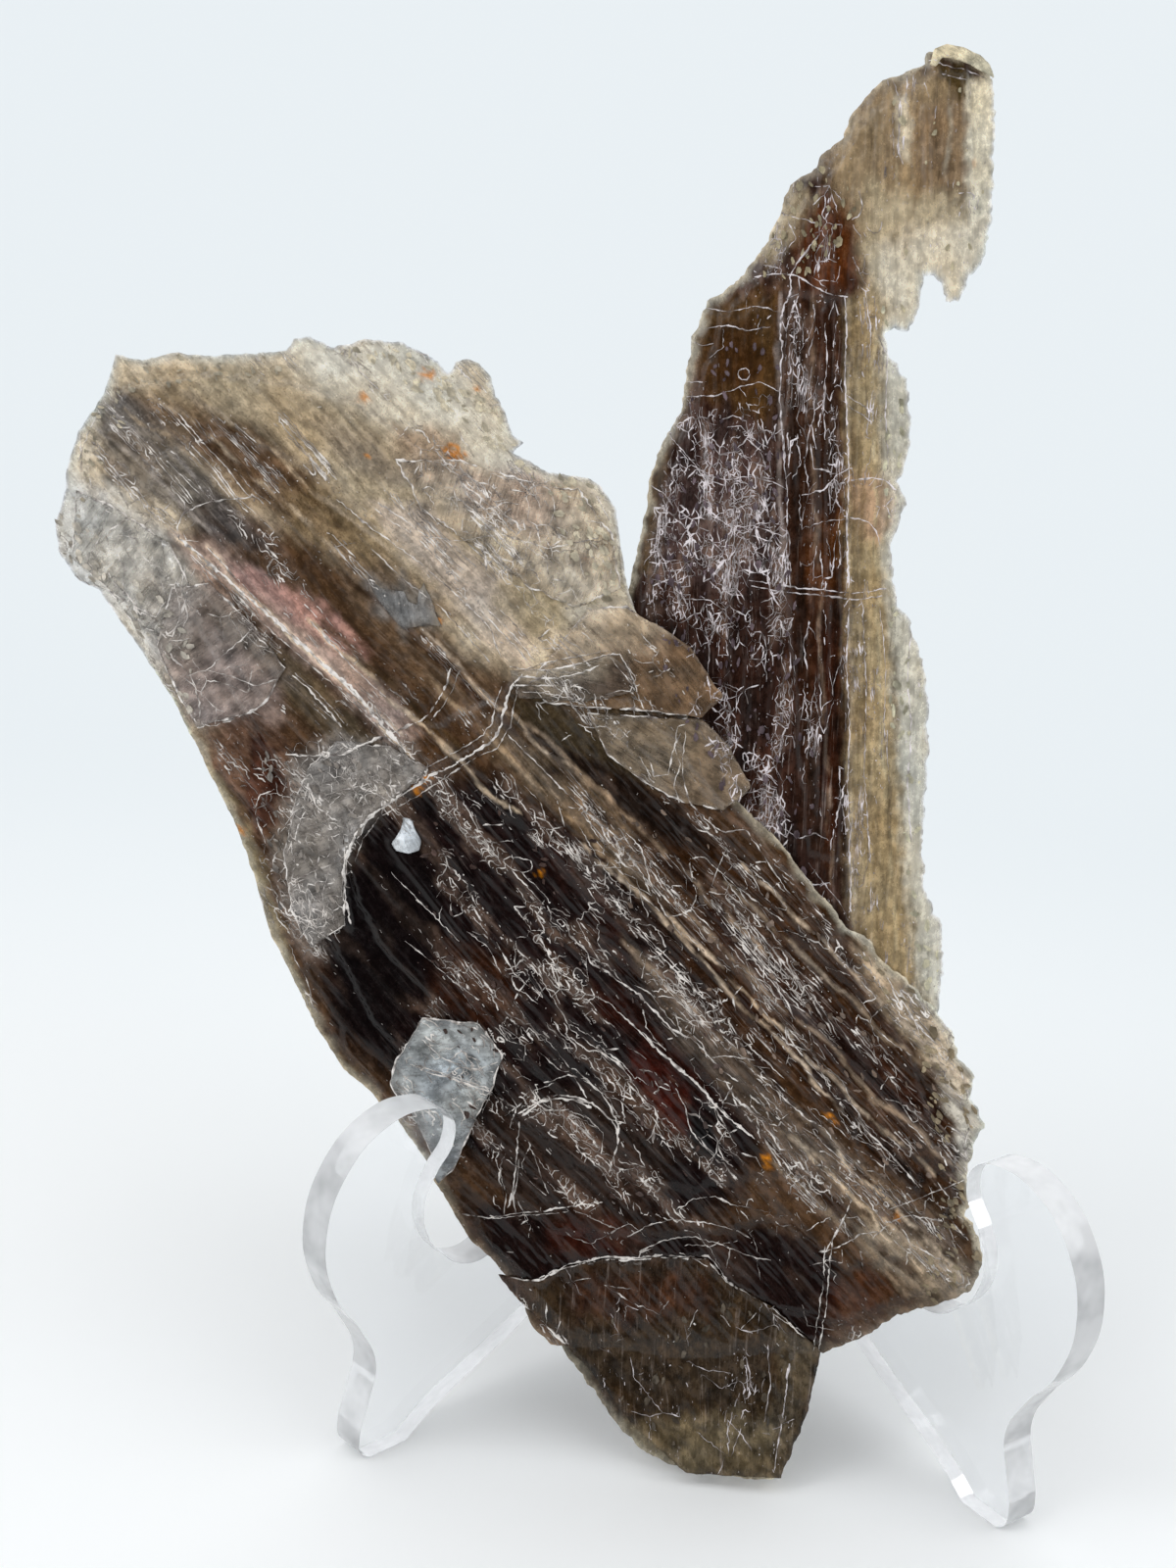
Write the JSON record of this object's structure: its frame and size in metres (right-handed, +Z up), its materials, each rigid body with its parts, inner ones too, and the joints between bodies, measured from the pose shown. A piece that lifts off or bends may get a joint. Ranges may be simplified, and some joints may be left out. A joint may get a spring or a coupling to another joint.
{
  "type": "mica crystal on display stand",
  "caption": "Smoky brown mica crystal of intergrown ragged blades, leaning back in a clear acrylic easel of crossed hooked plates.",
  "frame": {"origin": "middle of the whole model's bounding box, on the surface the stand's feet rest on", "axes": "+Z up along the height, +X to the viewer's right, +Y from the crystal's front towards its back"},
  "size_m": [0.0948, 0.0518, 0.1171],
  "materials": {
    "smoky_mica": "translucent, pearly cleavage faces with ragged white edges",
    "clear_acrylic": "clear, polished faces and edges"
  },
  "bodies": {
    "root": {"mica_crystal": "smoky_mica", "left_stand_plate": "clear_acrylic", "right_stand_plate": "clear_acrylic"}
  },
  "joints": []
}
